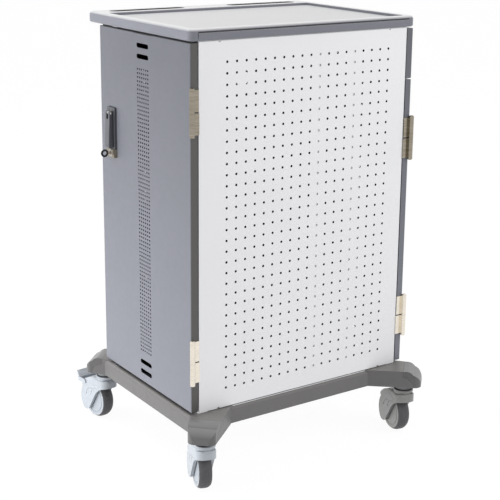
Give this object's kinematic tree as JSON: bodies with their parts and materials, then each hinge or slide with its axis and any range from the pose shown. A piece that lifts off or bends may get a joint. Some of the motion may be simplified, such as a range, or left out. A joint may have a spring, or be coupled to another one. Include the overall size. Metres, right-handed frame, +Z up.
{
  "type": "charging cart",
  "caption": "grey and white lockable charging cart with pegboard sides, hinged doors, grip top and swivel casters",
  "frame": {"origin": "on the floor, midway between the four caster swivel axes", "axes": "+Z up; front door faces -Y; both doors hinge on the +X side; push grip overhangs the -X side"},
  "size_m": [0.658, 0.6947, 1.069],
  "materials": {
    "base_grey": "fine-grain grey powder coat",
    "cap_grey": "grey moulded plastic",
    "collar_grey": "grey moulded collar on a steel stem",
    "inner_white": "white powder coat",
    "panel_white": "smooth white powder coat",
    "door_grey": "satin grey powder coat",
    "hinge_nickel": "nickel plated",
    "handle_plastic": "grey satin moulding",
    "lock_nickel": "aged nickel plate",
    "bright_steel": "bright plated steel",
    "lever_grey": "satin grey casting",
    "zinc_steel": "zinc plated",
    "key_black": "black key head on a steel blade",
    "top_grey": "grey fine-grain moulding",
    "work_white": "pale fine-grain sheet",
    "rack_plastic": "dark grey moulding",
    "power_black": "black moulding",
    "caster_plastic": "pale blue-grey moulding",
    "hub_plastic": "pale grey moulding",
    "tyre_grey": "grey non-marking tread",
    "pedal_plastic": "pale grey moulding"
  },
  "bodies": {
    "cart": {"leg_front_left": "base_grey", "leg_front_right": "base_grey", "leg_rear_left": "base_grey", "leg_rear_right": "base_grey", "end_rails": "base_grey", "side_rails": "base_grey", "leg_caps": "cap_grey", "caster_stems": "collar_grey", "floor_pan": "inner_white", "corner_posts": "inner_white", "roof_plate": "inner_white", "rear_partition": "inner_white", "shelves": "inner_white", "right_side_panel": "panel_white", "left_side_panel": "panel_white", "rear_upper_panel": "door_grey", "fixed_hinge_halves": "hinge_nickel", "rod_keepers": "zinc_steel", "top_frame": "top_grey", "work_surface": "work_white", "lower_rack": "rack_plastic", "middle_rack": "rack_plastic", "upper_rack": "rack_plastic", "power_strips": "power_black", "charge_controller": "power_black", "power_inlet": "power_black"},
    "front_door": {"front_door": "door_grey", "front_hinge_halves": "hinge_nickel", "front_handle_base": "handle_plastic", "front_lock_block": "lock_nickel"},
    "front_handle": {"front_spindle": "bright_steel"},
    "front_grip_lever": {"front_lever": "lever_grey"},
    "front_lock": {"front_lock_plug": "lock_nickel", "front_key": "key_black"},
    "front_upper_bolt": {"front_upper_rod": "zinc_steel"},
    "front_lower_bolt": {"front_lower_rod": "zinc_steel"},
    "rear_door": {"rear_door": "door_grey", "rear_hinge_halves": "hinge_nickel", "rear_handle_base": "handle_plastic", "rear_lock_block": "lock_nickel"},
    "rear_handle": {"rear_spindle": "bright_steel"},
    "rear_grip_lever": {"rear_lever": "lever_grey"},
    "rear_lock": {"rear_lock_plug": "lock_nickel"},
    "rear_upper_bolt": {"rear_upper_rod": "zinc_steel"},
    "rear_lower_bolt": {"rear_lower_rod": "zinc_steel"},
    "rocker": {"power_switch": "power_black"},
    "caster_front_left": {"caster_fork_front_left": "caster_plastic"},
    "wheel_front_left": {"wheel_hub_front_left": "hub_plastic", "tyre_front_left": "tyre_grey"},
    "caster_front_right": {"caster_fork_front_right": "caster_plastic"},
    "wheel_front_right": {"wheel_hub_front_right": "hub_plastic", "tyre_front_right": "tyre_grey"},
    "caster_rear_left": {"caster_fork_rear_left": "caster_plastic"},
    "wheel_rear_left": {"wheel_hub_rear_left": "hub_plastic", "tyre_rear_left": "tyre_grey"},
    "caster_rear_right": {"caster_fork_rear_right": "caster_plastic"},
    "wheel_rear_right": {"wheel_hub_rear_right": "hub_plastic", "tyre_rear_right": "tyre_grey"},
    "brake_front_left": {"brake_pedal_front_left": "pedal_plastic"},
    "brake_rear_left": {"brake_pedal_rear_left": "pedal_plastic"}
  },
  "joints": [
    {"name": "front_door_swing", "type": "hinge", "parent": "cart", "child": "front_door", "pos_m": [0.2164, -0.314, 0.613], "axis": [0, 0, 1], "range_deg": [0, 220]},
    {"name": "front_handle_turn", "type": "hinge", "parent": "front_door", "child": "front_handle", "pos_m": [-0.15, -0.316, 0.836], "axis": [0, -1, 0], "range_deg": [0, 90]},
    {"name": "front_lever_lift", "type": "hinge", "parent": "front_handle", "child": "front_grip_lever", "pos_m": [-0.15, -0.3241, 0.836], "axis": [-1, 0, 0], "range_deg": [0, 28]},
    {"name": "front_lock_turn", "type": "hinge", "parent": "front_door", "child": "front_lock", "pos_m": [-0.15, -0.316, 0.738], "axis": [0, -1, 0], "range_deg": [0, 90]},
    {"name": "front_upper_bolt_slide", "type": "slide", "parent": "front_door", "child": "front_upper_bolt", "axis": [0, 0, 1], "range_m": [0, 0.0126]},
    {"name": "front_lower_bolt_slide", "type": "slide", "parent": "front_door", "child": "front_lower_bolt", "axis": [0, 0, -1], "range_m": [0, 0.0126]},
    {"name": "rear_door_swing", "type": "hinge", "parent": "cart", "child": "rear_door", "pos_m": [0.2164, 0.314, 0.613], "axis": [0, 0, -1], "range_deg": [0, 220]},
    {"name": "rear_handle_turn", "type": "hinge", "parent": "rear_door", "child": "rear_handle", "pos_m": [-0.15, 0.316, 0.836], "axis": [0, -1, 0], "range_deg": [0, 90]},
    {"name": "rear_lever_lift", "type": "hinge", "parent": "rear_handle", "child": "rear_grip_lever", "pos_m": [-0.15, 0.3241, 0.836], "axis": [1, 0, 0], "range_deg": [0, 28]},
    {"name": "rear_lock_turn", "type": "hinge", "parent": "rear_door", "child": "rear_lock", "pos_m": [-0.15, 0.316, 0.738], "axis": [0, -1, 0], "range_deg": [0, 90]},
    {"name": "rear_upper_bolt_slide", "type": "slide", "parent": "rear_door", "child": "rear_upper_bolt", "axis": [0, 0, 1], "range_m": [0, 0.0126]},
    {"name": "rear_lower_bolt_slide", "type": "slide", "parent": "rear_door", "child": "rear_lower_bolt", "axis": [0, 0, -1], "range_m": [0, 0.0126]},
    {"name": "power_switch_rock", "type": "hinge", "parent": "cart", "child": "rocker", "pos_m": [0.074, 0.314, 0.9785], "axis": [1, 0, 0], "range_deg": [0, 16]},
    {"name": "front_left_swivel", "type": "hinge", "parent": "cart", "child": "caster_front_left", "pos_m": [-0.245, -0.299, 0.12], "axis": [0, 0, 1], "continuous": true},
    {"name": "front_left_wheel_spin", "type": "hinge", "parent": "caster_front_left", "child": "wheel_front_left", "pos_m": [-0.2808, -0.30276, 0.05], "axis": [0.1045, -0.9945, 0], "continuous": true},
    {"name": "front_left_brake", "type": "hinge", "parent": "caster_front_left", "child": "brake_front_left", "pos_m": [-0.30666, -0.30548, 0.093], "axis": [0.1045, -0.9945, 0], "range_deg": [0, 15]},
    {"name": "front_right_swivel", "type": "hinge", "parent": "cart", "child": "caster_front_right", "pos_m": [0.245, -0.299, 0.12], "axis": [0, 0, 1], "continuous": true},
    {"name": "front_right_wheel_spin", "type": "hinge", "parent": "caster_front_right", "child": "wheel_front_right", "pos_m": [0.21096, -0.28728, 0.05], "axis": [-0.3256, -0.9455, 0], "continuous": true},
    {"name": "rear_left_swivel", "type": "hinge", "parent": "cart", "child": "caster_rear_left", "pos_m": [-0.245, 0.299, 0.12], "axis": [0, 0, 1], "continuous": true},
    {"name": "rear_left_wheel_spin", "type": "hinge", "parent": "caster_rear_left", "child": "wheel_rear_left", "pos_m": [-0.28098, 0.30026, 0.05], "axis": [-0.0349, -0.9994, 0], "continuous": true},
    {"name": "rear_left_brake", "type": "hinge", "parent": "caster_rear_left", "child": "brake_rear_left", "pos_m": [-0.30696, 0.30116, 0.093], "axis": [-0.0349, -0.9994, 0], "range_deg": [0, 15]},
    {"name": "rear_right_swivel", "type": "hinge", "parent": "cart", "child": "caster_rear_right", "pos_m": [0.245, 0.299, 0.12], "axis": [0, 0, 1], "continuous": true},
    {"name": "rear_right_wheel_spin", "type": "hinge", "parent": "caster_rear_right", "child": "wheel_rear_right", "pos_m": [0.20992, 0.3071, 0.05], "axis": [-0.225, -0.9744, 0], "continuous": true}
  ],
  "couplings": [
    {"joint": "front_upper_bolt_slide", "follows": "front_handle_turn", "m_per_rad": 0.008},
    {"joint": "front_lower_bolt_slide", "follows": "front_handle_turn", "m_per_rad": 0.008},
    {"joint": "rear_upper_bolt_slide", "follows": "rear_handle_turn", "m_per_rad": 0.008},
    {"joint": "rear_lower_bolt_slide", "follows": "rear_handle_turn", "m_per_rad": 0.008}
  ]
}
